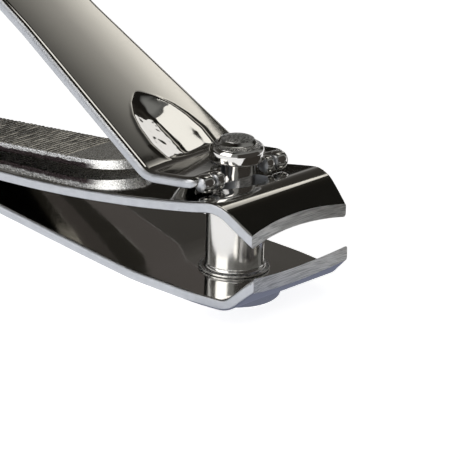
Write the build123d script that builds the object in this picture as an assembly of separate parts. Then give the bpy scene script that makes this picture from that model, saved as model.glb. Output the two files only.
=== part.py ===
from build123d import *
import math
import os

# Fingernail clipper: two spring plates joined at the rear by a tubular rivet, a pin through both,
# a forked lever on the pin's neck, and a swing-out nail file on the rivet.
# Millimetres. +X points to the cutting edges, +Z runs up the pin, the origin is the middle of the
# pin's flat base.

# Spring plates
SHEET = 0.95                 # thickness of both plates
PIN_FLAT_Z = 2.3             # inner face of the lower plate around the pin
PARTING_Z = 4.15             # face where the two plates lie on each other at the rear
REAR_X = -47.0
REAR_RADIUS = 5.45           # rounded rear end in plan
HALF_WIDTH = 7.02            # half width at the pin
WAIST_X = -21.0
WAIST_HALF_WIDTH = 6.75
EDGE_HALF_WIDTH = 5.83       # half width at the cutting edges
UPPER_EDGE_X = 7.35
LOWER_EDGE_X = 7.68
UPPER_EDGE_SAG = 0.6         # hollow of the cutting edge in plan
LOWER_EDGE_SAG = 0.75
EDGE_ROUND = 0.2             # rolled edge of the plates

# Upper plate, front to rear
UPPER_BEND_X = 2.8           # start of the bend down to the blade
UPPER_BEND_RADIUS = 2.9
UPPER_PIN_SLOPE = 12.15      # slope at the bend
UPPER_REAR_SLOPE = 5.5
UPPER_LIP_ANGLE = 36.0
UPPER_FRONT_RADIUS = 198.6   # curve from the bend back to the straight rear half
PLATE_PART_X = -39.3         # where the plates part
PART_BEND_RADIUS = 8.0

# Lower plate, front to rear
LOWER_BEND_X = 4.4
LOWER_BEND_RADIUS = 1.9
LOWER_LIP_ANGLE = 43.5
LOWER_FLAT_REAR_X = -4.1     # end of the flat around the pin
LOWER_RISE_ANGLE = 4.6
LOWER_RISE_RADIUS = 30.0
LOWER_REAR_RADIUS = 250.0
LIP_REACH = 6.0              # spare lip length that the cutting edge trims

# Pin
SHAFT_RADIUS = 2.53
NECK_RADIUS = 1.6
HEAD_RADIUS = 2.36
CROWN_RADIUS = 1.75
TOP_FLAT_RADIUS = 0.8
BASE_RADIUS = 4.05
BASE_LOW_CHAMFER = 0.3
BASE_HIGH_CHAMFER = 0.15
COLLAR_RADIUS = 3.05
COLLAR_RIM = 0.15
COLLAR_HEIGHT = 0.55
HEAD_CHAMFER = 0.2
SHOULDER_Z = 8.75            # step from shaft to neck
HEAD_UNDERSIDE_Z = 12.05
HEAD_SIDE_TOP_Z = 12.85
CROWN_Z = 13.5
HEAD_TOP_Z = 14.12
PIN_CLEARANCE = 0.04
UPPER_HOLE_CLEARANCE = 0.25
UPPER_HOLE_X = -0.12         # the hole moves forward as the jaws close

# Lever
LEVER_SHEET = 1.1
LEVER_FRONT_X = 0.75
LEVER_FRONT_Z = 11.4         # middle of the sheet's thickness at the fork's front
FOOT_SLOPE = 7.75
FOOT_LENGTH = 4.82
LEVER_BEND_RADIUS = 3.0
ARM_ANGLE = 28.2
ARM_STRAIGHT = 24.0
PAD_RADIUS = 60.0
PAD_TURN = 10.0
PAD_LENGTH = 7.0
LEVER_HALF_WIDTH = 5.9       # at the bend
LEVER_BEND_X = -5.0
LEVER_MID_X = -21.5
LEVER_MID_HALF_WIDTH = 4.55
LEVER_END_X = -42.4
LEVER_END_HALF_WIDTH = 4.2
FORK_CORNER_X = -0.8         # where the fork's outer corners start to curve in
FORK_HALF_WIDTH = 5.0
FORK_SLOT_HALF_WIDTH = 1.8
FORK_SLOT_REAR_X = -2.3
FORK_MOUTH_X = 0.35
FORK_MOUTH_HALF_WIDTH = 3.1
BEADS = [(4.4, 0.8), (3.15, 0.72)]   # distance from the middle and radius of each prong's beads
BEAD_X = 0.75
BEAD_Z = 10.96
BULGE_X = -4.75              # fulcrum pressed into the sheet at the bend
BULGE_LOW_Z = 9.18
BULGE_RADIUS = 4.6
BULGE_SHEET = 0.95
BULGE_FRONT_X = -3.6         # the fulcrum stops short of the pin's shaft
BULGE_REAR_X = -7.35
BULGE_REACH_Z = 10.7

# File and the rear rivet
RIVET_X = -42.2
RIVET_BORE_RADIUS = 1.25
RIVET_TUBE_RADIUS = 1.7
RIVET_FLANGE_RADIUS = 2.6
RIVET_FLANGE = 0.35
RIVET_CLEARANCE = 0.04
RIVET_LOWER_GAP = 0.34       # room for the upper plate to rock on the lower one
LOWER_RIVET_HOLE_GAP = 0.2
WASHER_RADIUS = 2.1
WASHER_THICKNESS = 0.2
FILE_THICKNESS = 0.9
FILE_HALF_WIDTH = 3.05
FILE_EYE_RADIUS = 3.9
FILE_SLOPE = 6.2             # the file lifts a little off the plate towards its tip
FILE_SHOULDER_X = -15.8
FILE_TIP_X = -11.0
FILE_TIP_HALF_WIDTH = 0.5
FILE_CHEEK = (-13.3, 2.35)   # point halfway round each side of the tip
TALL = 60.0                  # taller and wider than any piece, for trimming
SPARE = 1.0                  # extra sheet at the rear that the outline trims


def track(start, heading, moves, offset):
    """Edges of a path of lines (0, length) and arcs (turn, radius), moved sideways by offset."""
    angle = heading
    side = Vector(-math.sin(math.radians(angle)), math.cos(math.radians(angle)))
    place = Vector(*start) + side * offset
    edges = []
    for turn, size in moves:
        ahead = Vector(math.cos(math.radians(angle)), math.sin(math.radians(angle)))
        if turn == 0:
            edge = Line(place, place + ahead * size)
        else:
            radius = size - math.copysign(offset, turn * offset)
            edge = JernArc(place, ahead, radius, turn)
        edges.append(edge)
        place = edge @ 1
        angle += turn
    return edges


def bent_sheet(start, heading, moves, thickness, half_width):
    """A bent strip of sheet metal, drawn by the middle line of its thickness, as wide as asked."""
    left = track(start, heading, moves, thickness / 2)
    right = track(start, heading, moves, -thickness / 2)
    caps = [Line(left[0] @ 0, right[0] @ 0), Line(left[-1] @ 1, right[-1] @ 1)]
    section = make_face(left + right + caps)
    return extrude(Plane.XZ * section, amount=half_width, both=True)


def rise(radius, angle_a, angle_b):
    """Height gained along an arc between two slopes."""
    return radius * abs(math.cos(math.radians(angle_a)) - math.cos(math.radians(angle_b)))


def run(radius, angle_a, angle_b):
    """Length along X of an arc between two slopes."""
    return radius * abs(math.sin(math.radians(angle_a)) - math.sin(math.radians(angle_b)))


def column(outline, low=-10.0, high=TALL):
    """A plan outline made into a tall solid, to trim a bent sheet with."""
    return extrude(Plane.XY.offset(low) * outline, amount=high - low)


def cylinder(x, radius, low, high):
    """An upright cylinder between two heights."""
    place = Location((x, 0, low))
    return place * Cylinder(radius, high - low, align=(Align.CENTER, Align.CENTER, Align.MIN))


def drill(x, radius):
    """An upright cylinder through everything, to cut a hole with."""
    return cylinder(x, radius, -TALL, TALL)


def plate_outline(edge_x, sag):
    """Plan of a spring plate: hollow cutting edge, curved shoulders, tapered body, round end."""
    end_x = REAR_X + REAR_RADIUS
    shoulder_x = edge_x / 2
    shoulder_y = HALF_WIDTH - (HALF_WIDTH - EDGE_HALF_WIDTH) / 4
    edges = [
        ThreePointArc((edge_x, -EDGE_HALF_WIDTH), (edge_x - sag, 0), (edge_x, EDGE_HALF_WIDTH)),
        ThreePointArc((end_x, REAR_RADIUS), (REAR_X, 0), (end_x, -REAR_RADIUS)),
    ]
    for side in (-1, 1):
        edges.append(
            ThreePointArc(
                (edge_x, side * EDGE_HALF_WIDTH),
                (shoulder_x, side * shoulder_y),
                (0, side * HALF_WIDTH),
            )
        )
        edges.append(
            ThreePointArc(
                (0, side * HALF_WIDTH),
                (WAIST_X, side * WAIST_HALF_WIDTH),
                (end_x, side * REAR_RADIUS),
            )
        )
    return make_face(edges)


def rolled(plate, front_x):
    """Round the long edges of a plate, but leave its ground cutting face sharp."""
    rim = [e for e in plate.edges() if e.bounding_box().max.X < front_x and e.length > 1.5 * SHEET]
    return fillet(rim, EDGE_ROUND)


def upper_moves():
    """Middle line of the upper plate, from the rear end to the blade."""
    front_run = run(UPPER_FRONT_RADIUS, UPPER_REAR_SLOPE, UPPER_PIN_SLOPE)
    rear_run = UPPER_BEND_X - PLATE_PART_X - front_run
    flat = PLATE_PART_X - run(PART_BEND_RADIUS, 0, UPPER_REAR_SLOPE) - REAR_X + SPARE
    return [
        (0, flat),
        (UPPER_REAR_SLOPE, PART_BEND_RADIUS),
        (0, rear_run / math.cos(math.radians(UPPER_REAR_SLOPE))),
        (UPPER_PIN_SLOPE - UPPER_REAR_SLOPE, UPPER_FRONT_RADIUS),
        (-UPPER_PIN_SLOPE - UPPER_LIP_ANGLE, UPPER_BEND_RADIUS),
        (0, LIP_REACH),
    ]


def lower_moves():
    """Middle line of the lower plate: level, down to the flat around the pin, and up to the blade."""
    climb = PARTING_Z - PIN_FLAT_Z
    arcs = rise(LOWER_RISE_RADIUS, 0, LOWER_RISE_ANGLE) + rise(LOWER_REAR_RADIUS, 0, LOWER_RISE_ANGLE)
    slope = (climb - arcs) / math.sin(math.radians(LOWER_RISE_ANGLE))
    slope_run = slope * math.cos(math.radians(LOWER_RISE_ANGLE))
    curves_run = run(LOWER_RISE_RADIUS, 0, LOWER_RISE_ANGLE) + run(LOWER_REAR_RADIUS, 0, LOWER_RISE_ANGLE)
    level = LOWER_FLAT_REAR_X - slope_run - curves_run - REAR_X + SPARE
    return [
        (0, level),
        (-LOWER_RISE_ANGLE, LOWER_REAR_RADIUS),
        (0, slope),
        (LOWER_RISE_ANGLE, LOWER_RISE_RADIUS),
        (0, LOWER_BEND_X - LOWER_FLAT_REAR_X),
        (LOWER_LIP_ANGLE, LOWER_BEND_RADIUS),
        (0, LIP_REACH),
    ]


def make_upper_jaw():
    """Upper plate, with the pin's hole and the rivet's hole."""
    sheet = bent_sheet((REAR_X - SPARE, PARTING_Z + SHEET / 2), 0, upper_moves(), SHEET, TALL)
    jaw = rolled(sheet & column(plate_outline(UPPER_EDGE_X, UPPER_EDGE_SAG)), UPPER_EDGE_X - EDGE_ROUND)
    jaw -= drill(UPPER_HOLE_X, SHAFT_RADIUS + UPPER_HOLE_CLEARANCE)
    return jaw - drill(RIVET_X, RIVET_TUBE_RADIUS)


def make_lower_jaw():
    """Lower plate, with a close hole for the pin and a roomy one for the rivet."""
    sheet = bent_sheet((REAR_X - SPARE, PARTING_Z - SHEET / 2), 0, lower_moves(), SHEET, TALL)
    jaw = rolled(sheet & column(plate_outline(LOWER_EDGE_X, LOWER_EDGE_SAG)), LOWER_EDGE_X - EDGE_ROUND)
    jaw -= drill(0, SHAFT_RADIUS + PIN_CLEARANCE)
    return jaw - drill(RIVET_X, RIVET_TUBE_RADIUS + LOWER_RIVET_HOLE_GAP)


def make_pin():
    """Turned pin: flat base, swaged collar, shaft, neck and domed head."""
    plate_low = PIN_FLAT_Z - SHEET - PIN_CLEARANCE
    plate_high = PIN_FLAT_Z + PIN_CLEARANCE
    outline = [
        (0, 0),
        (BASE_RADIUS - BASE_LOW_CHAMFER, 0),
        (BASE_RADIUS, BASE_LOW_CHAMFER),
        (BASE_RADIUS, plate_low - BASE_HIGH_CHAMFER),
        (BASE_RADIUS - BASE_HIGH_CHAMFER, plate_low),
        (SHAFT_RADIUS, plate_low),
        (SHAFT_RADIUS, plate_high),
        (COLLAR_RADIUS, plate_high),
        (COLLAR_RADIUS - COLLAR_RIM, plate_high + COLLAR_RIM),
        (SHAFT_RADIUS, plate_high + COLLAR_HEIGHT),
        (SHAFT_RADIUS, SHOULDER_Z - HEAD_CHAMFER),
        (SHAFT_RADIUS - HEAD_CHAMFER, SHOULDER_Z),
        (NECK_RADIUS, SHOULDER_Z),
        (NECK_RADIUS, HEAD_UNDERSIDE_Z),
        (HEAD_RADIUS - HEAD_CHAMFER, HEAD_UNDERSIDE_Z),
        (HEAD_RADIUS, HEAD_UNDERSIDE_Z + HEAD_CHAMFER),
        (HEAD_RADIUS, HEAD_SIDE_TOP_Z),
    ]
    points = [Vector(r, z) for r, z in outline]
    side = [Line(a, b) for a, b in zip(points, points[1:])]
    shoulder = TangentArc(points[-1], (CROWN_RADIUS, CROWN_Z), tangent=(0, 1))
    crown = TangentArc((TOP_FLAT_RADIUS, HEAD_TOP_Z), (CROWN_RADIUS, CROWN_Z), tangent=(1, 0))
    top = Line((TOP_FLAT_RADIUS, HEAD_TOP_Z), (0, HEAD_TOP_Z))
    axis = Line((0, HEAD_TOP_Z), (0, 0))
    return revolve(Plane.XZ * make_face(side + [shoulder, crown, top, axis]), Axis.Z)


def lever_outline():
    """Plan of the lever: round thumb end, taper, shoulders and fork, without the slot."""
    end_x = LEVER_END_X + LEVER_END_HALF_WIDTH
    corner_x = (FORK_CORNER_X + LEVER_FRONT_X) / 2
    corner_y = LEVER_HALF_WIDTH - (LEVER_HALF_WIDTH - FORK_HALF_WIDTH) / 4
    edges = [
        ThreePointArc((end_x, LEVER_END_HALF_WIDTH), (LEVER_END_X, 0), (end_x, -LEVER_END_HALF_WIDTH)),
        Line((LEVER_FRONT_X, -FORK_HALF_WIDTH), (LEVER_FRONT_X, FORK_HALF_WIDTH)),
    ]
    for side in (-1, 1):
        corners = [
            (end_x, side * LEVER_END_HALF_WIDTH),
            (LEVER_MID_X, side * LEVER_MID_HALF_WIDTH),
            (LEVER_BEND_X, side * LEVER_HALF_WIDTH),
            (FORK_CORNER_X, side * LEVER_HALF_WIDTH),
        ]
        edges += [Line(a, b) for a, b in zip(corners, corners[1:])]
        front = (LEVER_FRONT_X, side * FORK_HALF_WIDTH)
        edges.append(ThreePointArc(corners[-1], (corner_x, side * corner_y), front))
    return make_face(edges)


def lever_slot():
    """Open slot that the pin's neck stands in, wider in front of the head's footprint."""
    half = FORK_SLOT_HALF_WIDTH
    slot = Pos(FORK_SLOT_REAR_X + half, 0) * Circle(half)
    slot += Pos(FORK_SLOT_REAR_X + half, 0) * Rectangle(TALL, 2 * half, align=(Align.MIN, Align.CENTER))
    mouth = Rectangle(TALL, 2 * FORK_MOUTH_HALF_WIDTH, align=(Align.MIN, Align.CENTER))
    return slot + Pos(FORK_MOUTH_X, 0) * mouth


def make_lever():
    """Forked lever with beaded fork ends, a pressed fulcrum under its bend and a long arm."""
    moves = [
        (0, FOOT_LENGTH),
        (-FOOT_SLOPE - ARM_ANGLE, LEVER_BEND_RADIUS),
        (0, ARM_STRAIGHT),
        (PAD_TURN, PAD_RADIUS),
        (0, PAD_LENGTH),
    ]
    start = (LEVER_FRONT_X, LEVER_FRONT_Z)
    lever = bent_sheet(start, 180 + FOOT_SLOPE, moves, LEVER_SHEET, TALL) & column(lever_outline())
    centre = (BULGE_X, 0, BULGE_LOW_Z + BULGE_RADIUS)
    reach = Box(BULGE_FRONT_X - BULGE_REAR_X, LEVER_HALF_WIDTH, BULGE_REACH_Z - BULGE_LOW_Z)
    reach = Pos((BULGE_FRONT_X + BULGE_REAR_X) / 2, 0, (BULGE_LOW_Z + BULGE_REACH_Z) / 2) * reach
    lever += (Pos(*centre) * Sphere(BULGE_RADIUS)) & reach
    lever -= Pos(*centre) * Sphere(BULGE_RADIUS - BULGE_SHEET)
    lever -= column(lever_slot())
    for side in (-1, 1):
        for y, radius in BEADS:
            lever += Pos(BEAD_X, side * y, BEAD_Z) * Sphere(radius)
    return lever


def file_outline():
    """Plan of the file: round eye over the rivet, parallel blade and round-nosed tip."""
    nose_x = FILE_TIP_X - FILE_TIP_HALF_WIDTH / 2
    edges = [
        ThreePointArc((nose_x, -FILE_TIP_HALF_WIDTH), (FILE_TIP_X, 0), (nose_x, FILE_TIP_HALF_WIDTH)),
        Line((RIVET_X, -FILE_HALF_WIDTH), (RIVET_X, FILE_HALF_WIDTH)),
    ]
    for side in (-1, 1):
        shoulder = (FILE_SHOULDER_X, side * FILE_HALF_WIDTH)
        cheek = (FILE_CHEEK[0], side * FILE_CHEEK[1])
        edges.append(ThreePointArc(shoulder, cheek, (nose_x, side * FILE_TIP_HALF_WIDTH)))
        edges.append(Line(shoulder, (RIVET_X, side * FILE_HALF_WIDTH)))
    return make_face(edges) + Pos(RIVET_X, 0) * Circle(FILE_EYE_RADIUS)


def make_file():
    """Nail file that lies along the upper plate and swings out round the rivet."""
    lift = SHEET + WASHER_THICKNESS + RIVET_CLEARANCE + FILE_THICKNESS / 2
    flat = PLATE_PART_X - run(PART_BEND_RADIUS, 0, FILE_SLOPE) - REAR_X + SPARE
    blade_run = FILE_TIP_X + SPARE - PLATE_PART_X
    moves = [(0, flat), (FILE_SLOPE, PART_BEND_RADIUS), (0, blade_run / math.cos(math.radians(FILE_SLOPE)))]
    blade = bent_sheet((REAR_X - SPARE, PARTING_Z + lift), 0, moves, FILE_THICKNESS, TALL)
    blade &= column(file_outline())
    return blade - drill(RIVET_X, RIVET_TUBE_RADIUS + RIVET_CLEARANCE)


def make_washer():
    """Thin spacer that keeps the file's teeth off the upper plate."""
    low = PARTING_Z + SHEET
    ring = cylinder(RIVET_X, WASHER_RADIUS, low, low + WASHER_THICKNESS)
    return ring - drill(RIVET_X, RIVET_TUBE_RADIUS + RIVET_CLEARANCE)


def make_rivet():
    """Tubular rivet with a flange above the file and one below the lower plate."""
    low = PARTING_Z - SHEET - RIVET_LOWER_GAP
    high = PARTING_Z + SHEET + WASHER_THICKNESS + FILE_THICKNESS + 2 * RIVET_CLEARANCE
    rivet = cylinder(RIVET_X, RIVET_TUBE_RADIUS, low, high)
    rivet += cylinder(RIVET_X, RIVET_FLANGE_RADIUS, low - RIVET_FLANGE, low)
    rivet += cylinder(RIVET_X, RIVET_FLANGE_RADIUS, high, high + RIVET_FLANGE)
    return rivet - drill(RIVET_X, RIVET_BORE_RADIUS)


os.makedirs("parts", exist_ok=True)
export_step(make_upper_jaw(), "parts/upper_jaw.step")
export_step(make_lower_jaw(), "parts/lower_jaw.step")
export_step(make_pin(), "parts/pin.step")
export_step(make_lever(), "parts/lever.step")
export_step(make_file(), "parts/nail_file.step")
export_step(make_washer(), "parts/file_washer.step")
export_step(make_rivet(), "parts/rear_rivet.step")
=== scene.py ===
import bpy
import bmesh
import math
from mathutils import Matrix, Vector, noise


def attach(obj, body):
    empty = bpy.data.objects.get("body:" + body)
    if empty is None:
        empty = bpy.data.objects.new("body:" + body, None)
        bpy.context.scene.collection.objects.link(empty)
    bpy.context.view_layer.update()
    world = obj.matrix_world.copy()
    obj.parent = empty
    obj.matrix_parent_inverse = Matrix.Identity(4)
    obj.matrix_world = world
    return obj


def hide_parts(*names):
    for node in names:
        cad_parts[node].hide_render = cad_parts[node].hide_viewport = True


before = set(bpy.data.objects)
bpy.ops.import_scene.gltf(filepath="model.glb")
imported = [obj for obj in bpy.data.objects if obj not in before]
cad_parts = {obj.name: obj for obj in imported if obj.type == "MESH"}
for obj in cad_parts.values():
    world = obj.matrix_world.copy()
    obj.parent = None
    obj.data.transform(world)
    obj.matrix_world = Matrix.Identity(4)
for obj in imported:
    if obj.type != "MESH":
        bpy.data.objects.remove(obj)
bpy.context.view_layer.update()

# All sizes below are in millimetres unless a name says otherwise.
MM = 0.001

# Lever: the same middle line and plan as its CAD node
LEVER_START = (0.75, 11.4)
FOOT_SLOPE = 7.75
FOOT_LENGTH = 4.82
LEVER_BEND_RADIUS = 3.0
ARM_ANGLE = 28.2
ARM_STRAIGHT = 24.0
PAD_RADIUS = 60.0
PAD_TURN = 10.0
LEVER_SHEET = 1.1
LEVER_CROWN = 0.0055         # fall of the top per square millimetre from the middle line
LEVER_END_X = -42.4
LEVER_END_HALF = 4.2
ARM_ZERO_X = -6.5            # the dimple is measured up the arm from here
DIMPLE_DEPTH = 0.95
FULCRUM_X = -5.0
FULCRUM_DROP = 1.08
FORK_CORNER_X = -0.8
FORK_CORNER_LENGTH = 1.6
FORK_CORNER_DROP = 1.15      # how far the corner draws in at the fork's front
FORK_FRONT_HALF = 4.75
SLOT_CENTRE_X = -0.5         # centre of the slot's round rear end
SLOT_HALF = 1.8
SLOT_FLARE = 0.75
NOSE_START = 0.05            # the sheet's rounded front end, along the path
NOSE_LENGTH = 0.75

# File: the same middle line and plan as its CAD node
FILE_THICKNESS = 0.9
FILE_HALF = 3.05
FILE_MID_Z = 5.79
FILE_SLOPE = 6.2
FILE_TIP_X = -11.0
FILE_SHOULDER_X = -15.8
FILE_EYE_X = -42.2
FILE_EYE_RADIUS = 3.9
FILE_HOLE_RADIUS = 1.74
PART_X = -39.3
PART_BEND_RADIUS = 8.0
TEETH_END_X = -17.5
TOOTH_PITCH = 0.52
TOOTH_HEIGHT = 0.1

CEILING_Z = 100.0            # height of the overhead panel


# ---------------------------------------------------------------- small tools

def smooth(a, b, x):
    """0 below a, 1 above b, an S-curve between."""
    t = min(1.0, max(0.0, (x - a) / (b - a)))
    return t * t * (3 - 2 * t)


def through(points, x):
    """Height of a line through a few points, level beyond its ends."""
    if x <= points[0][0]:
        return points[0][1]
    for (x0, y0), (x1, y1) in zip(points, points[1:]):
        if x <= x1:
            t = (x - x0) / (x1 - x0)
            return y0 + (y1 - y0) * t
    return points[-1][1]


def speckle(x, y, z, size):
    """Smooth noise from -1 to 1 with features of about the given size."""
    return noise.noise(Vector((x, y, z)) / size)


def spaced(start, end, step):
    """Evenly spaced values from start to end, about a step apart."""
    count = max(1, round(abs(end - start) / step))
    return [start + (end - start) * i / count for i in range(count + 1)]


class Path:
    """A line in the XZ plane of straight runs (0, length) and arcs (turn in degrees, radius)."""

    def __init__(self, start, heading, moves, up_side):
        self.up_side = up_side
        self.parts = []
        self.length = 0.0
        x, z = start
        angle = math.radians(heading)
        for turn, size in moves:
            bend = math.radians(turn)
            length = size if turn == 0 else abs(bend) * size
            self.parts.append((self.length, length, x, z, angle, bend))
            x, z = self.step(self.parts[-1], length)[:2]
            angle += bend
            self.length += length

    def step(self, part, travelled):
        """Place and heading after travelling into one part."""
        _, length, x, z, angle, bend = part
        if bend == 0:
            return x + math.cos(angle) * travelled, z + math.sin(angle) * travelled, angle
        turned = angle + bend * travelled / length
        radius = length / bend
        x += radius * (math.sin(turned) - math.sin(angle))
        z -= radius * (math.cos(turned) - math.cos(angle))
        return x, z, turned

    def at(self, s):
        """Place and heading at a distance along the line; the ends run on straight."""
        for part in reversed(self.parts):
            if s >= part[0] or part is self.parts[0]:
                x, z, angle = self.step(part, min(s - part[0], part[1]))
                spare = max(0.0, s - part[0] - part[1])
                return x + math.cos(angle) * spare, z + math.sin(angle) * spare, angle

    def point(self, s, y, h):
        """A point h above the line, y to the side."""
        x, z, angle = self.at(s)
        x -= math.sin(angle) * h * self.up_side
        z += math.cos(angle) * h * self.up_side
        return Vector((x, y, z)) * MM


def new_object(name, mesh):
    """An object for a finished mesh, in the scene."""
    ob = bpy.data.objects.new(name, mesh)
    bpy.context.scene.collection.objects.link(ob)
    return ob


def finish_mesh(bm, name, sharp_angle):
    """Close up, orient and smooth-shade a mesh, and make an object of it."""
    bmesh.ops.remove_doubles(bm, verts=bm.verts, dist=2e-6)
    rims = [edge for edge in bm.edges if edge.is_boundary]
    bmesh.ops.holes_fill(bm, edges=rims, sides=0)
    bmesh.ops.recalc_face_normals(bm, faces=bm.faces)
    mesh = bpy.data.meshes.new(name)
    bm.to_mesh(mesh)
    bm.free()
    for face in mesh.polygons:
        face.use_smooth = True
    mesh.set_sharp_from_angle(angle=math.radians(sharp_angle))
    return new_object(name, mesh)


def weigh_normals(ob):
    """Let large faces keep flat reflections beside their rounded arrises."""
    weigh = ob.modifiers.new("weigh", "WEIGHTED_NORMAL")
    weigh.keep_sharp = True
    weigh.weight = 50


# ---------------------------------------------------------------- sheet-metal meshes

class Sheet:
    """A strip of sheet metal along a path, given by functions of the distance along it."""

    def __init__(self, path, half_width, opening, top, bottom):
        self.path = path
        self.half_width = half_width
        self.opening = opening
        self.top = top
        self.bottom = bottom
        self.top_round = 0.45
        self.low_round = 0.12
        self.columns = 30
        self.top_steps = 7
        self.low_steps = 3

    def edge_profile(self):
        """Inward distance, part of the top's rounding and which surface, from bottom to top."""
        low = [i / self.low_steps * math.pi / 2 for i in range(self.low_steps + 1)]
        high = [i / self.top_steps * math.pi / 2 for i in range(self.top_steps + 1)]
        profile = [(1 - math.cos(a), 1 - math.sin(a), "low") for a in reversed(low)]
        profile += [(1 - math.cos(a), 1 - math.sin(a), "top") for a in high]
        return profile

    def outward(self, s):
        """Outward direction of the outline in plan, as parts along the path and across."""
        step = 0.004
        rise = self.half_width(s + step) - self.half_width(s - step)
        size = math.hypot(rise, 2 * step)
        return -rise / size, 2 * step / size

    def surface(self, s, y, which, drop=0.0):
        """A point on the top or the bottom surface, let in by drop."""
        if which == "top":
            return self.path.point(s, y, self.top(s, y) - drop)
        return self.path.point(s, y, self.bottom(s, y) + drop)

    def row(self, s, side, limits):
        """Points of half a cross-section, from the bottom's middle round the edge to the top's."""
        out_s, out_y = self.outward(s)
        wide = self.half_width(s)
        inner = min(self.opening(s), wide)
        room = self.top(s, wide) - self.bottom(s, wide)
        top_round = min(self.top_round, 0.6 * room)
        low_round = min(self.low_round, 0.3 * room)
        centre = min(max(s, limits[0] + self.top_round), limits[1] - self.top_round)
        ring = []
        for inward, let_in, which in self.edge_profile():
            size = top_round if which == "top" else low_round
            at_s = s - out_s * inward * size
            at_y = max(inner, wide - out_y * inward * size)
            ring.append((at_s, at_y, which, let_in * size))
        points = []
        first, last = ring[0], ring[-1]
        for j in range(self.columns):
            t = j / self.columns
            points.append((centre + (first[0] - centre) * t, inner + (first[1] - inner) * t, "low", 0.0))
        points += ring
        for j in range(self.columns - 1, -1, -1):
            t = j / self.columns
            points.append((centre + (last[0] - centre) * t, inner + (last[1] - inner) * t, "top", 0.0))
        return [self.surface(a, side * b, which, drop) for a, b, which, drop in points], inner > 0

    def build(self, stations):
        """The whole closed mesh."""
        bm = bmesh.new()
        limits = (min(stations), max(stations))
        for side in (-1, 1):
            before = None
            for s in stations:
                points, is_open = self.row(s, side, limits)
                verts = [bm.verts.new(p) for p in points]
                if before:
                    rings = list(zip(before[0], before[0][1:], verts[1:], verts))
                    if is_open or before[1]:
                        rings.append((before[0][-1], before[0][0], verts[0], verts[-1]))
                    for corners in rings:
                        bm.faces.new(corners if side < 0 else corners[::-1])
                before = (verts, is_open)
        bmesh.ops.remove_doubles(bm, verts=bm.verts, dist=1e-6)
        bmesh.ops.dissolve_degenerate(bm, edges=bm.edges, dist=1e-7)
        return bm


# ---------------------------------------------------------------- lever

def lever_path():
    """Middle line of the lever's sheet, from the fork to the thumb end."""
    moves = [
        (0, FOOT_LENGTH),
        (-FOOT_SLOPE - ARM_ANGLE, LEVER_BEND_RADIUS),
        (0, ARM_STRAIGHT),
        (PAD_TURN, PAD_RADIUS),
        (0, PAD_RADIUS),
    ]
    return Path(LEVER_START, 180 + FOOT_SLOPE, moves, -1)


def lever_half_width(x):
    """Plan of the lever: thumb end, tapering arm, wide foot and drawn-in fork corners."""
    if x < LEVER_END_X + LEVER_END_HALF:
        into = LEVER_END_X + LEVER_END_HALF - x
        return math.sqrt(max(0.0, LEVER_END_HALF ** 2 - into ** 2))
    if x > FORK_CORNER_X:
        drawn = (x - FORK_CORNER_X) / FORK_CORNER_LENGTH
        return FORK_FRONT_HALF + FORK_CORNER_DROP * math.sqrt(max(0.0, 1 - drawn ** 2))
    return through([(-38.2, 4.2), (-21.5, 4.55), (-5.0, 5.9)], x)


def fork_slot(x):
    """Half width of the fork's slot, open at the front."""
    if x < SLOT_CENTRE_X - SLOT_HALF:
        return 0.0
    if x < SLOT_CENTRE_X:
        return math.sqrt(max(0.0, SLOT_HALF ** 2 - (x - SLOT_CENTRE_X) ** 2))
    return SLOT_HALF + SLOT_FLARE * smooth(-0.2, 0.75, x)


def dimple(arm, y):
    """Depth of the pressed teardrop: a valley with flat flanks and a steep front end."""
    half = through(
        [
            (-2.3, 2.2), (-1.4, 2.8), (-1.0, 3.05), (0.9, 3.3), (2.9, 2.95),
            (4.4, 2.4), (5.6, 1.6), (6.5, 0.6), (6.9, 0.02),
        ],
        arm,
    )
    deep = DIMPLE_DEPTH * smooth(7.0, 3.2, arm) * smooth(-1.75, -0.55, arm)
    if half < 0.03 or deep == 0:
        return 0.0
    across = min(1.3, math.sqrt(y * y + 0.04) / half)
    flank = max(0.0, 1.0 - across) ** 1.3 * (1 + 0.07 * speckle(arm, y, 5.0, 0.6) * smooth(0.3, -0.6, y))
    return deep * (flank - 0.06 * math.exp(-((across - 0.93) / 0.09) ** 2)) / (1 + 0.25 * flank)


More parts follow.
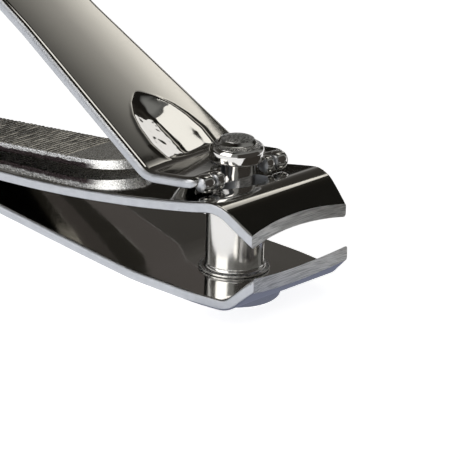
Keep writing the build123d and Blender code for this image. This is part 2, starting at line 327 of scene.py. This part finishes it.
def make_lever():
    """Forked lever with rounded arrises, a teardrop dimple and knuckled fork ends."""
    path = lever_path()

    def arm_of(s):
        x = path.at(s)[0]
        return (ARM_ZERO_X - x) / math.cos(math.radians(ARM_ANGLE))

    def nose(s):
        into = min(1.0, max(0.0, (NOSE_START + NOSE_LENGTH - s) / NOSE_LENGTH))
        return math.sqrt(max(0.0, 1 - into * into))

    def top(s, y):
        return (LEVER_SHEET / 2 - LEVER_CROWN * y * y) * nose(s) - dimple(arm_of(s), y)

    def bottom(s, y):
        x = path.at(s)[0]
        reach = ((x - FULCRUM_X) / 2.0) ** 2 + (y / 3.0) ** 2
        fulcrum = FULCRUM_DROP * max(0.0, 1 - reach) ** 1.2
        return -LEVER_SHEET / 2 * nose(s) - max(fulcrum, 0.8 * dimple(arm_of(s), y))

    sheet = Sheet(
        path,
        lambda s: lever_half_width(path.at(s)[0]),
        lambda s: fork_slot(path.at(s)[0]),
        top,
        bottom,
    )
    sheet.columns = 34
    end = path.length - PAD_RADIUS
    while path.at(end)[0] > LEVER_END_X:
        end += 0.01
    stations = [NOSE_START + NOSE_LENGTH * (1 - math.cos(a * math.pi / 16)) for a in range(8)]
    stations += spaced(NOSE_START + NOSE_LENGTH, 4.2, 0.12) + spaced(4.3, 15.5, 0.11)
    stations += spaced(16.0, end - LEVER_END_HALF, 0.5)
    for a in range(1, 25):
        stations.append(end - LEVER_END_HALF * (1 - math.sin(a / 24 * math.pi / 2)))
    bm = sheet.build(stations)
    bmesh.ops.remove_doubles(bm, verts=bm.verts, dist=2e-6)
    for side in (-1, 1):
        knuckle(bm, 0.62, side * 4.46, 11.06, (0.9, 0.88, 0.84))
        knuckle(bm, 0.62, side * 3.05, 11.02, (0.8, 0.66, 0.8))
    lever = finish_mesh(bm, "lever_sheet", 50)
    weigh_normals(lever)
    return lever


def knuckle(bm, x, y, z, radii):
    """One rounded lump of a fork's end, a little squarer than a ball."""
    ball = bmesh.ops.create_uvsphere(bm, u_segments=40, v_segments=24, radius=1.0)
    for v in ball["verts"]:
        square = 1 + 0.06 * math.cos(4 * math.atan2(v.co.z, math.hypot(v.co.x, v.co.y)))
        place = (x + v.co.x * radii[0], y + v.co.y * radii[1], z + v.co.z * radii[2] / square)
        v.co = Vector(place) * MM


# ---------------------------------------------------------------- file

def file_half_width(x):
    """Plan of the file: eye, parallel blade and round-nosed tip."""
    if x < FILE_EYE_X + 2.43:
        into = FILE_EYE_X - x
        return math.sqrt(max(0.0, FILE_EYE_RADIUS ** 2 - into ** 2))
    if x < FILE_SHOULDER_X:
        return FILE_HALF
    nose = (x - FILE_SHOULDER_X) / (FILE_TIP_X - FILE_SHOULDER_X)
    return FILE_HALF * max(0.0, 1 - nose ** 2.1) ** 0.62


def file_hole(x):
    """Half width of the hole for the rivet."""
    into = x - FILE_EYE_X
    return math.sqrt(max(0.0, FILE_HOLE_RADIUS ** 2 - into ** 2))


def tooth(x, y):
    """Height of the cut teeth: ridges across the file that lean and wander a little."""
    place = x + 0.02 * speckle(x, y, 3.0, 2.5)
    phase = place / TOOTH_PITCH
    ridge = 0.5 - 0.5 * math.cos(2 * math.pi * (phase + 0.12 * math.sin(2 * math.pi * phase)))
    uneven = 1 + 0.45 * speckle(math.floor(phase) * 1.7, y * 0.7, 9.0, 1.0)
    cut = smooth(FILE_EYE_X + 5.0, FILE_EYE_X + 5.3, x) * (1 - smooth(TEETH_END_X - 0.1, TEETH_END_X, x))
    groove = 0.05 * math.exp(-((x - TEETH_END_X) / 0.09) ** 2)
    return TOOTH_HEIGHT * (ridge * uneven - 1.0) * cut - groove


def make_file():
    """Nail file with real teeth and sheared sides."""
    bend = PART_BEND_RADIUS * math.sin(math.radians(FILE_SLOPE))
    flat = PART_X - bend - (FILE_EYE_X - FILE_EYE_RADIUS)
    moves = [(0, flat), (FILE_SLOPE, PART_BEND_RADIUS), (0, 60.0)]
    path = Path((FILE_EYE_X - FILE_EYE_RADIUS, FILE_MID_Z), 0, moves, 1)

    def top(s, y):
        x = path.at(s)[0]
        torn = 0.03 * speckle(x, y, 1.0, 0.35) * smooth(FILE_HALF - 0.5, FILE_HALF, abs(y))
        return FILE_THICKNESS / 2 + tooth(x, y) + min(0.0, torn)

    sheet = Sheet(
        path,
        lambda s: file_half_width(path.at(s)[0]),
        lambda s: file_hole(path.at(s)[0]),
        top,
        lambda s, y: -FILE_THICKNESS / 2,
    )
    sheet.top_round = 0.13
    sheet.low_round = 0.05
    sheet.columns = 16
    end = path.length - 60.0
    while path.at(end)[0] < FILE_TIP_X:
        end += 0.01
    stations = [FILE_EYE_RADIUS * (1 - math.cos(a / 20 * math.pi / 2)) for a in range(20)]
    stations += spaced(FILE_EYE_RADIUS, 8.6, 0.16)
    stations += spaced(8.65, end - 6.2, 0.058) + spaced(end - 6.1, end - 1.0, 0.12)
    stations += [end - math.cos(a / 16 * math.pi / 2) ** 2 for a in range(1, 17)]
    bm = sheet.build(stations)
    blade = finish_mesh(bm, "file_blade", 40)
    return blade


# ---------------------------------------------------------------- pin

def arc_points(centre, radius, start, end, count):
    """Points on an arc in the pin's radius and height plane."""
    out = []
    for i in range(count + 1):
        a = math.radians(start + (end - start) * i / count)
        out.append((centre[0] + radius * math.cos(a), centre[1] + radius * math.sin(a)))
    return out


def pin_profile():
    """Half outline of the turned pin, from the middle of its base to the middle of its head."""
    outline = [(0.0, 0.0), (1.5, 0.0), (3.0, 0.0)]
    outline += arc_points((3.72, 0.32), 0.32, -90, 0, 6)
    outline += arc_points((3.9, 1.17), 0.14, 0, 90, 5)
    outline += [(3.2, 1.31), (2.53, 1.31), (2.53, 2.34), (2.8, 2.34)]
    outline += arc_points((2.96, 2.44), 0.1, -90, 70, 6)
    outline += arc_points((2.98, 2.95), 0.45, -110, -178, 8)
    outline += [(2.53, 3.4), (2.53, 5.0), (2.53, 7.0), (2.53, 8.4)]
    outline += arc_points((2.35, 8.57), 0.18, 0, 90, 6)
    outline += [(1.9, 8.75)]
    outline += arc_points((1.75, 8.9), 0.15, -90, -180, 5)
    outline += [(1.6, 9.6), (1.6, 11.0)]
    outline += arc_points((1.75, 11.9), 0.15, 180, 90, 5)
    outline += arc_points((2.14, 12.27), 0.22, -90, 0, 7)
    outline += [(2.362, 12.6), (2.362, 12.8)]
    outline += arc_points((1.7, 12.82), 0.662, 4, 62, 10)
    outline += [(1.9, 13.46), (1.76, 13.54), (1.6, 13.64)]
    return outline


def crown_height(r):
    """Worn dome on top of the head, inside its crease."""
    return 13.64 + 0.46 * math.sqrt(max(0.0, 1 - (r / 1.75) ** 2))


def make_pin():
    """Turned pin with a rivet-like base, a swaged collar and a worn head."""
    outline = pin_profile()
    crown = (1.45, 1.3, 1.15, 1.0, 0.85, 0.7, 0.55, 0.4, 0.25, 0.1, 0.0)
    outline += [(r, crown_height(r)) for r in crown]
    segments = 144
    bm = bmesh.new()
    rings = []
    for r, z in outline:
        if r == 0.0:
            rings.append([bm.verts.new(Vector((0, 0, z)) * MM)])
            continue
        ring = []
        for i in range(segments):
            a = 2 * math.pi * i / segments
            x, y = r * math.cos(a), r * math.sin(a)
            worn = 0.016 * speckle(x, y, z, 0.3) * smooth(13.5, 13.7, z)
            ring.append(bm.verts.new(Vector((x, y, min(z + worn, 14.12))) * MM))
        rings.append(ring)
    for low, high in zip(rings, rings[1:]):
        for i in range(segments):
            j = (i + 1) % segments
            corners = [low[i % len(low)], low[j % len(low)], high[j % len(high)], high[i % len(high)]]
            bm.faces.new(list(dict.fromkeys(corners)))
    pin = finish_mesh(bm, "pin_turned", 50)
    weigh_normals(pin)
    return pin


# ---------------------------------------------------------------- materials

class Material:
    """A node material on a metal shader, with short calls for the nodes it needs."""

    def __init__(self, name, color, roughness):
        self.material = bpy.data.materials.new(name)
        self.material.use_nodes = True
        self.tree = self.material.node_tree
        self.shader = self.tree.nodes["Principled BSDF"]
        self.shader.inputs["Base Color"].default_value = (*color, 1)
        self.shader.inputs["Metallic"].default_value = 1.0
        self.shader.inputs["Roughness"].default_value = roughness
        self.place = self.tree.nodes.new("ShaderNodeTexCoord")

    def node(self, kind, **settings):
        made = self.tree.nodes.new(kind)
        for name, value in settings.items():
            setattr(made, name, value)
        return made

    def link(self, source, target):
        self.tree.links.new(source, target)

    def math(self, operation, a, b=0.0):
        made = self.node("ShaderNodeMath", operation=operation)
        for socket, value in zip(made.inputs, (a, b)):
            if isinstance(value, (int, float)):
                socket.default_value = value
            else:
                self.link(value, socket)
        return made.outputs[0]

    def mapped(self, stretch):
        made = self.node("ShaderNodeMapping")
        made.inputs["Scale"].default_value = stretch
        self.link(self.place.outputs["Object"], made.inputs["Vector"])
        return made.outputs[0]

    def noise(self, feature, stretch=(1, 1, 1), detail=3.0):
        """Noise whose features are about that many millimetres across."""
        made = self.node("ShaderNodeTexNoise")
        made.inputs["Scale"].default_value = 1 / (feature * MM)
        made.inputs["Detail"].default_value = detail
        self.link(self.mapped(stretch), made.inputs["Vector"])
        return made.outputs["Fac"]

    def ramp(self, value, stops):
        """Blend through (position, grey or colour) stops."""
        made = self.node("ShaderNodeValToRGB")
        ends = made.color_ramp.elements
        while len(ends) < len(stops):
            ends.new(0.5)
        for end, (position, grey) in zip(ends, stops):
            end.position = position
            color = grey if isinstance(grey, tuple) else (grey, grey, grey)
            end.color = (*color, 1)
        self.link(value, made.inputs["Fac"])
        return made.outputs["Color"]

    def facing(self, axis, low, high):
        """1 where the surface itself faces along an axis, 0 where it does not."""
        parts = self.node("ShaderNodeSeparateXYZ")
        self.link(self.place.outputs["Normal"], parts.inputs[0])
        size = self.math("ABSOLUTE", parts.outputs[axis])
        return self.ramp(size, [(low, 0.0), (high, 1.0)])

    def mix(self, factor, a, b):
        made = self.node("ShaderNodeMix", data_type="RGBA")
        self.link(factor, made.inputs[0])
        for socket, value in zip(made.inputs[6:8], (a, b)):
            if isinstance(value, float):
                socket.default_value = (value, value, value, 1)
            elif isinstance(value, tuple):
                socket.default_value = (*value, 1)
            else:
                self.link(value, socket)
        return made.outputs[2]

    def bump(self, height, depth, after=None):
        """Bump of a depth in millimetres."""
        made = self.node("ShaderNodeBump")
        made.inputs["Strength"].default_value = 1.0
        made.inputs["Distance"].default_value = depth * MM
        self.link(height, made.inputs["Height"])
        if after:
            self.link(after, made.inputs["Normal"])
        return made.outputs["Normal"]

    def set(self, name, source):
        self.link(source, self.shader.inputs[name])


NO_GROUND = (1.0, 1.0)       # both stops at the ramp's end, so that no face looks ground


def plated(name, ground_span):
    """Polished chrome plate: mirror faces with faint smudges, satin sheared sides and ground faces."""
    m = Material(name, (0.74, 0.735, 0.72), 0.06)
    smudge = m.noise(3.0, detail=4.0)
    fine = m.noise(0.25, (1, 1, 1), 4.0)
    polish = m.ramp(m.math("MULTIPLY", smudge, fine), [(0.1, 0.035), (0.45, 0.1)])
    sides = m.facing("Y", 0.55, 0.85)
    ground = m.facing("X", *ground_span)
    satin = m.math("MAXIMUM", sides, ground)
    grit = m.ramp(m.noise(0.12, detail=5.0), [(0.3, 0.34), (0.7, 0.5)])
    m.set("Roughness", m.mix(satin, polish, grit))
    tint = m.mix(m.noise(6.0), (0.72, 0.712, 0.695), (0.77, 0.765, 0.75))
    streaks = m.noise(0.2, (1.0, 0.08, 2.5), 5.0)
    side_tint = m.mix(m.noise(0.8), (0.44, 0.46, 0.5), (0.58, 0.6, 0.64))
    line = m.ramp(streaks, [(0.35, 0.0), (0.62, 1.0)])
    ground_tint = m.mix(line, (0.5, 0.505, 0.49), (0.95, 0.95, 0.93))
    m.set("Base Color", m.mix(satin, tint, m.mix(ground, side_tint, ground_tint)))
    waviness = m.bump(m.noise(4.0, detail=1.0), 0.004)
    m.set("Normal", m.bump(m.math("MULTIPLY", streaks, satin), 0.02, after=waviness))
    return m.material


def turned(name):
    """Plated turned pin: faint rings, a scratched crown."""
    m = Material(name, (0.72, 0.71, 0.70), 0.05)
    top = m.facing("Z", 0.75, 0.93)
    parts = m.node("ShaderNodeSeparateXYZ")
    m.link(m.place.outputs["Object"], parts.inputs[0])
    shaft = m.ramp(m.math("MULTIPLY", parts.outputs["Z"], 50.0), [(0.42, 0.2), (0.47, 0.05)])
    polish = m.mix(m.noise(0.6), shaft, m.mix(m.noise(1.5), shaft, 0.14))
    m.set("Roughness", m.mix(top, polish, 0.32))
    plate = m.mix(m.noise(1.2), (0.7, 0.69, 0.675), (0.76, 0.755, 0.745))
    worn = m.ramp(m.noise(0.22, (2.2, 0.7, 1.0), 5.0), [(0.4, 0.16), (0.62, 0.95)])
    m.set("Base Color", m.mix(top, plate, worn))
    rings = m.noise(0.3, (0.05, 0.05, 2.0), 2.0)
    scratches = m.noise(0.14, (3.0, 0.5, 1.0), 5.0)
    first = m.bump(rings, 0.001)
    m.set("Normal", m.bump(m.math("MULTIPLY", scratches, top), 0.09, after=first))
    return m.material


def filed(name):
    """Plated file: dull teeth with painted shade along the grooves between them, a bright sheared edge
    and a dark torn side below it.
    """
    m = Material(name, (0.62, 0.6, 0.57), 0.3)
    parts = m.node("ShaderNodeSeparateXYZ")
    m.link(m.place.outputs["Object"], parts.inputs[0])
    beyond = m.math("ADD", parts.outputs["X"], -PART_X * MM)
    climb = m.math("MULTIPLY", beyond, math.tan(math.radians(FILE_SLOPE)))
    over = m.math("MAXIMUM", climb, 0.0)
    height = m.math("SUBTRACT", m.math("SUBTRACT", parts.outputs["Z"], over), FILE_MID_Z * MM)
    ragged = m.math("MULTIPLY", m.math("SUBTRACT", m.noise(0.5, detail=5.0), 0.5), 0.0005)
    level = m.math("MULTIPLY", m.math("ADD", height, ragged), 1000.0)
    torn = m.ramp(m.math("ADD", level, 0.5), [(0.5, 1.0), (0.56, 0.0)])
    sides = m.facing("Z", 0.3, 0.7)
    side = m.math("SUBTRACT", 1.0, sides)
    nose = m.ramp(m.math("MULTIPLY", parts.outputs["X"], -10.0), [(0.138, 0.0), (0.152, 1.0)])
    dark = m.math("MULTIPLY", m.math("MULTIPLY", side, torn), nose)
    # Painted shade: dark lines along the valleys between the teeth, standing in for the shade in the
    # grooves
    turns = m.math("MULTIPLY", parts.outputs["X"], 1000 / TOOTH_PITCH)
    uneven = m.math("MULTIPLY", m.noise(0.7, (1.0, 0.6, 1.0), 4.0), 0.9)
    valley = m.math("COSINE", m.math("MULTIPLY", m.math("ADD", turns, uneven), 2 * math.pi))
    cut = m.ramp(m.math("MULTIPLY", parts.outputs["X"], -10.0), [(0.1735, 0.0), (0.176, 1.0)])
    groove_painted_shade = m.math("MULTIPLY", m.ramp(valley, [(0.1, 0.0), (0.95, 1.0)]), cut)
    teeth_and_painted_shade = m.mix(groove_painted_shade, (0.78, 0.765, 0.72), (0.2, 0.19, 0.175))
    light = m.mix(side, teeth_and_painted_shade, (0.95, 0.96, 0.98))
    m.set("Base Color", m.mix(dark, light, (0.09, 0.07, 0.075)))
    rough = m.ramp(m.noise(0.15, detail=5.0), [(0.3, 0.16), (0.7, 0.34)])
    m.set("Roughness", rough)
    pits = m.noise(0.1, (1, 1, 1), 6.0)
    drag = m.noise(0.25, (0.4, 1.0, 2.5), 5.0)
    first = m.bump(m.math("MULTIPLY", drag, side), 0.06)
    m.set("Normal", m.bump(pits, 0.006, after=first))
    return m.material


def dress(ob, material):
    """Give an object one material."""
    ob.data.materials.clear()
    ob.data.materials.append(material)


# ---------------------------------------------------------------- camera and light

def camera_axes(azimuth, elevation, roll):
    """Right, up and backward directions of a camera that looks at the object from those angles."""
    a, e, r = (math.radians(v) for v in (azimuth, elevation, roll))
    back = Vector((math.sin(a) * math.cos(e), -math.cos(a) * math.cos(e), math.sin(e)))
    right = Vector((math.cos(a), math.sin(a), 0.0))
    up = back.cross(right)
    return (
        right * math.cos(r) + up * math.sin(r),
        up * math.cos(r) - right * math.sin(r),
        back,
    )


def make_camera():
    """Long lens, close to the jaws, a little above them."""
    right, up, back = camera_axes(42.96, 20.38, 1.53)
    data = bpy.data.cameras.new("camera")
    data.lens = 252.7
    data.sensor_width = 36.0
    data.clip_start = 0.01
    camera = bpy.data.objects.new("camera", data)
    place = (right * -0.278 + up * 5.265 + back * 276.96) * MM
    turn = Matrix((right, up, back)).transposed().to_4x4()
    camera.matrix_world = Matrix.Translation(place) @ turn
    bpy.context.scene.collection.objects.link(camera)
    bpy.context.scene.camera = camera


def make_world():
    """Dim studio whose greys depend only on the angle about the Y axis."""
    world = bpy.data.worlds.new("world")
    bpy.context.scene.world = world
    world.use_nodes = True
    tree = world.node_tree
    place = tree.nodes.new("ShaderNodeTexCoord")
    parts = tree.nodes.new("ShaderNodeSeparateXYZ")
    turn = tree.nodes.new("ShaderNodeMath")
    turn.operation = "ARCTAN2"
    scale = tree.nodes.new("ShaderNodeMath")
    scale.operation = "DIVIDE"
    scale.inputs[1].default_value = math.pi
    ramp = tree.nodes.new("ShaderNodeValToRGB")
    tree.links.new(place.outputs["Generated"], parts.inputs[0])
    tree.links.new(parts.outputs["Z"], turn.inputs[0])
    tree.links.new(parts.outputs["X"], turn.inputs[1])
    tree.links.new(turn.outputs[0], scale.inputs[0])
    tree.links.new(scale.outputs[0], ramp.inputs["Fac"])
    tree.links.new(ramp.outputs["Color"], tree.nodes["Background"].inputs["Color"])
    # part of the half turn from the front horizon over the top to the rear, and the light from there
    stops = [
        (0.0, (0.25, 0.245, 0.235)),
        (0.2, (0.24, 0.24, 0.23)),
        (0.37, (0.2, 0.2, 0.19)),
        (0.43, (0.01, 0.0095, 0.008)),
        (0.5, (0.012, 0.011, 0.009)),
        (0.6, (0.03, 0.028, 0.023)),
        (0.78, (0.04, 0.037, 0.033)),
        (0.84, (0.075, 0.07, 0.064)),
        (0.89, (0.26, 0.255, 0.245)),
        (0.912, (0.2, 0.196, 0.188)),
        (0.93, (0.014, 0.013, 0.011)),
        (0.98, (0.009, 0.008, 0.006)),
        (1.0, (0.05, 0.05, 0.05)),
    ]
    ends = ramp.color_ramp.elements
    while len(ends) < len(stops):
        ends.new(0.5)
    for end, (position, color) in zip(ends, stops):
        end.position = position
        end.color = (*color, 1)


def flat_mesh(name, corners):
    """One flat face."""
    mesh = bpy.data.meshes.new(name)
    mesh.from_pydata(corners, [], [tuple(range(len(corners)))])
    return new_object(name, mesh)


def paint(name, color, own_light):
    """Plain matt paint for the surroundings, with a little light of its own like a light table."""
    material = bpy.data.materials.new(name)
    material.use_nodes = True
    shader = material.node_tree.nodes["Principled BSDF"]
    shader.inputs["Base Color"].default_value = (*color, 1)
    shader.inputs["Roughness"].default_value = 0.9
    shader.inputs["Emission Color"].default_value = (1, 1, 1, 1)
    shader.inputs["Emission Strength"].default_value = own_light
    return material


def glow(name, color, strength):
    """A panel that gives its own light."""
    material = bpy.data.materials.new(name)
    material.use_nodes = True
    nodes = material.node_tree.nodes
    shader = nodes["Principled BSDF"]
    shader.inputs["Base Color"].default_value = (0, 0, 0, 1)
    shader.inputs["Specular IOR Level"].default_value = 0.0
    shader.inputs["Emission Color"].default_value = (*color, 1)
    shader.inputs["Emission Strength"].default_value = strength
    return material


def make_floor():
    """Wide pale floor."""
    size = 8.0
    low = -0.02 * MM
    corners = [(-size, -size, low), (size, -size, low), (size, size, low), (-size, size, low)]
    floor = flat_mesh("floor", corners)
    dress(floor, paint("floor_paint", (0.88, 0.88, 0.885), 0.78))


def make_card(name, corners, color, strength=1.0):
    """A studio card seen only in reflections."""
    card = flat_mesh(name, [tuple(v * MM for v in corner) for corner in corners])
    dress(card, glow(name + "_paint", color, strength))
    card.visible_camera = False
    card.visible_diffuse = False
    card.visible_shadow = False


def fade(tree, value, stops):
    """Node that blends through (metres, grey) stops."""
    span = tree.nodes.new("ShaderNodeMapRange")
    first, last = stops[0][0], stops[-1][0]
    span.inputs["From Min"].default_value = first
    span.inputs["From Max"].default_value = last
    ramp = tree.nodes.new("ShaderNodeValToRGB")
    ends = ramp.color_ramp.elements
    while len(ends) < len(stops):
        ends.new(0.5)
    for end, (position, grey) in zip(ends, stops):
        end.position = (position - first) / (last - first)
        end.color = (grey, grey, grey, 1)
    tree.links.new(value, span.inputs["Value"])
    tree.links.new(span.outputs["Result"], ramp.inputs["Fac"])
    return ramp.outputs["Color"]


def make_ceiling():
    """Bright panel overhead that fades towards the near side and at its far edge."""
    outline = [(-58, 44), (-10, 44), (-13, 60), (-19, 104), (-30, 104), (-58, 84)]
    corners = [(x, y, CEILING_Z) for x, y in outline]
    make_card("card_above", corners, (1.0, 0.96, 0.87))
    tree = bpy.data.materials["card_above_paint"].node_tree
    place = tree.nodes.new("ShaderNodeTexCoord")
    parts = tree.nodes.new("ShaderNodeSeparateXYZ")
    tree.links.new(place.outputs["Object"], parts.inputs[0])
    skew = tree.nodes.new("ShaderNodeMath")
    skew.operation = "MULTIPLY_ADD"
    skew.inputs[1].default_value = -0.46
    tree.links.new(parts.outputs["X"], skew.inputs[0])
    tree.links.new(parts.outputs["Y"], skew.inputs[2])
    along = [
        (0.062, 0.05), (0.072, 0.12), (0.08, 0.22), (0.09, 0.36),
        (0.1, 0.62), (0.108, 0.9), (0.114, 1.05),
    ]
    across = [(0.044, 0.0), (0.05, 1.0), (0.1, 1.0), (0.112, 0.6)]
    both = tree.nodes.new("ShaderNodeMath")
    both.operation = "MULTIPLY"
    tree.links.new(fade(tree, skew.outputs[0], along), both.inputs[0])
    tree.links.new(fade(tree, parts.outputs["Y"], across), both.inputs[1])
    tree.links.new(both.outputs[0], tree.nodes["Principled BSDF"].inputs["Emission Strength"])


def level_card(name, x, y, z, color):
    """A card that lies level, over a span in X and a span in Y."""
    make_card(name, [(x[0], y[0], z), (x[1], y[0], z), (x[1], y[1], z), (x[0], y[1], z)], color)


def make_cards():
    """Dark, bright and tinted cards that give the chrome its contrast; the dim bluish one under the jaws
    is a painted shadow seen only in the chrome.
    """
    make_ceiling()
    left = [(-70, -120, 25), (40, -120, 25), (40, -120, 170), (-70, -120, 170)]
    far = [(-78, 120, 44), (-34, 120, 44), (-34, 120, 76), (-78, 120, 76)]
    right = [(70, -70, 0), (70, 120, 0), (70, 120, 90), (70, -70, 90)]
    make_card("card_left", left, (1.0, 0.98, 0.94), 2.2)
    level_card("card_top", (-26, 14), (2, 37), 99, (1.15, 1.12, 1.04))
    make_card("card_far", far, (1.0, 0.98, 0.95))
    level_card("card_front", (16, 75), (-14, 60), 0.1, (0.035, 0.03, 0.025))
    make_card("card_right", right, (0.05, 0.045, 0.04))
    # Painted shadow: a dim bluish sheet under the jaws, seen only in reflections, standing in for the
    # clipper's shade on the floor
    level_card("card_under_painted_shadow", (0, 13), (-9, 16), 0.05, (0.17, 0.185, 0.25))
    level_card("card_behind", (-70, 3), (8, 90), 0.1, (0.1, 0.09, 0.085))


def make_lamp(name, place, size, watts):
    """Soft panel that lights the floor but does not show in the chrome."""
    data = bpy.data.lights.new(name, "AREA")
    data.shape = "SQUARE"
    data.size = size
    data.energy = watts
    lamp = bpy.data.objects.new(name, data)
    lamp.location = place
    aim = -Vector(place)
    lamp.rotation_euler = aim.to_track_quat("-Z", "Y").to_euler()
    lamp.visible_glossy = False
    bpy.context.scene.collection.objects.link(lamp)


def make_lamps():
    """Large soft light from above on both sides."""
    make_lamp("lamp_above", (-0.1, -0.1, 0.8), 1.6, 3.2)
    make_lamp("lamp_front", (0.5, -0.6, 0.5), 0.9, 0.8)


# ---------------------------------------------------------------- the clipper

def make_pieces():
    """Visual pieces that stand for CAD nodes, and finishes for the nodes that stay."""
    plates = plated("chrome_plates", (0.8, 0.9))
    levers = plated("chrome_lever", NO_GROUND)
    lever = make_lever()
    dress(lever, levers)
    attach(lever, "lever")
    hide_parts("lever")
    blade = make_file()
    dress(blade, filed("plated_file"))
    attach(blade, "nail_file")
    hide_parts("nail_file")
    pin = make_pin()
    dress(pin, turned("chrome_pin"))
    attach(pin, "pin")
    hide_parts("pin")
    for name in ("lower_jaw", "upper_jaw"):
        dress(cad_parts[name], plates)
    rivet = turned("chrome_rivet")
    for name in ("rear_rivet", "file_washer"):
        dress(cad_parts[name], rivet)


make_camera()
make_pieces()
make_floor()
make_cards()
make_lamps()
make_world()
bpy.context.scene.view_settings.view_transform = "Standard"
